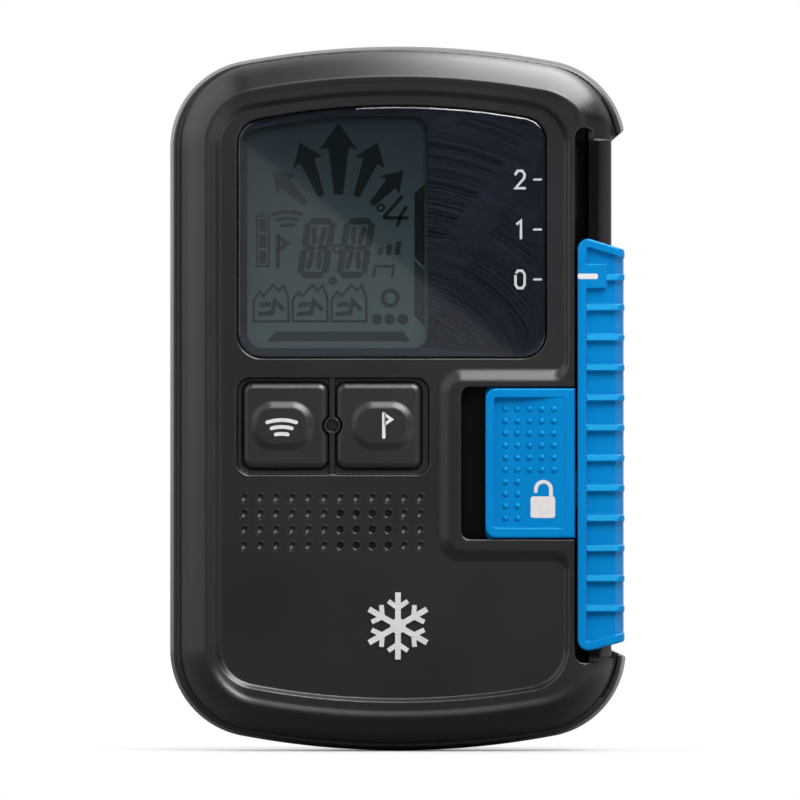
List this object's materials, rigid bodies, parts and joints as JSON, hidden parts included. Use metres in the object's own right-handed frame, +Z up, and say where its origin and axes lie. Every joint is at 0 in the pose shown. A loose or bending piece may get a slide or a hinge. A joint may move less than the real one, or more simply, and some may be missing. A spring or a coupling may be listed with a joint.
{
  "type": "avalanche transceiver",
  "caption": "Hand-sized avalanche beacon: bowed casing with a display under glass, two keys, a ribbed sliding mode switch with a thumb lock, and a hinged battery door.",
  "frame": {"origin": "middle of the whole unit, slider included", "axes": "+Y from the front face with the display towards the back, +Z up along the unit, +X towards the side with the mode slider"},
  "size_m": [0.0763, 0.029, 0.118],
  "materials": {
    "casing": "matt, finely grained",
    "casing_rear": "matt, finely grained",
    "seal": "matt",
    "window": "gloss",
    "mask": "gloss",
    "lcd": "satin",
    "white_plastic": "matt",
    "zebra": "matt",
    "key": "satin",
    "key_mat": "matt",
    "steel": "satin",
    "black_steel": "black oxide",
    "clear": "clear",
    "led": "gloss",
    "blue": "satin",
    "blue_lock": "satin",
    "magnet": "nickel plated",
    "board": "solder resist",
    "chip": "matt",
    "tin": "tin plated",
    "ferrite": "matt",
    "copper": "enamelled wire",
    "speaker": "satin",
    "membrane": "matt",
    "cells": "gloss wrap",
    "brass": "knurled",
    "badge": "satin metal",
    "label": "printed film"
  },
  "bodies": {
    "casing": {"front_shell": "casing", "rear_shell": "casing_rear", "main_seal": "seal", "display_window": "window", "display_mask": "mask", "window_gasket": "seal", "lcd_panel": "lcd", "lcd_backlight": "white_plastic", "lcd_frame": "white_plastic", "lcd_connector": "zebra", "keypad_mat": "key_mat", "tact_switches": "steel", "led_lens": "clear", "status_led": "led", "detent_spring": "steel", "lock_spring": "steel", "main_board": "board", "main_chip": "chip", "radio_shield": "tin", "bluetooth_module": "tin", "hall_sensors": "chip", "board_screws": "steel", "antenna_x_core": "ferrite", "antenna_x_coil": "copper", "antenna_y_core": "ferrite", "antenna_y_coil": "copper", "antenna_z_core": "ferrite", "antenna_z_coil": "copper", "speaker": "speaker", "speaker_gasket": "seal", "speaker_membrane": "membrane", "battery_cells": "cells", "contact_plates": "steel", "contact_springs": "steel", "door_seal": "seal", "door_hinge_pin": "steel", "door_screw_insert": "brass", "housing_screws": "black_steel", "housing_inserts": "brass", "strap_bar": "steel", "badge": "badge", "rating_label": "label"},
    "slider": {"mode_slider": "blue", "slider_magnet": "magnet"},
    "lock": {"lock_button": "blue_lock"},
    "left_key": {"scan_key": "key"},
    "right_key": {"mark_key": "key"},
    "door": {"battery_door": "casing_rear"},
    "screw": {"door_screw": "steel"}
  },
  "joints": [
    {"name": "mode_slide", "type": "slide", "parent": "casing", "child": "slider", "axis": [0, 0, 1], "range_m": [0, 0.0168], "deforming": ["detent_spring"]},
    {"name": "lock_slide", "type": "slide", "parent": "casing", "child": "lock", "axis": [-1, 0, 0], "range_m": [0, 0.0035], "stiffness_N_per_m": 300, "springref_m": -0.002, "deforming": ["lock_spring"]},
    {"name": "scan_key_press", "type": "slide", "parent": "casing", "child": "left_key", "axis": [0, 1, 0], "range_m": [0, 0.0006], "stiffness_N_per_m": 400, "springref_m": -0.0005},
    {"name": "mark_key_press", "type": "slide", "parent": "casing", "child": "right_key", "axis": [0, 1, 0], "range_m": [0, 0.0006], "stiffness_N_per_m": 400, "springref_m": -0.0005},
    {"name": "battery_door_swing", "type": "hinge", "parent": "casing", "child": "door", "pos_m": [0, 0.01345, -0.0443], "axis": [-1, 0, 0], "range_deg": [0, 95]},
    {"name": "door_screw_turn", "type": "hinge", "parent": "door", "child": "screw", "pos_m": [0, 0.0136, -0.0004], "axis": [0, 1, 0], "range_deg": [0, 90]}
  ]
}
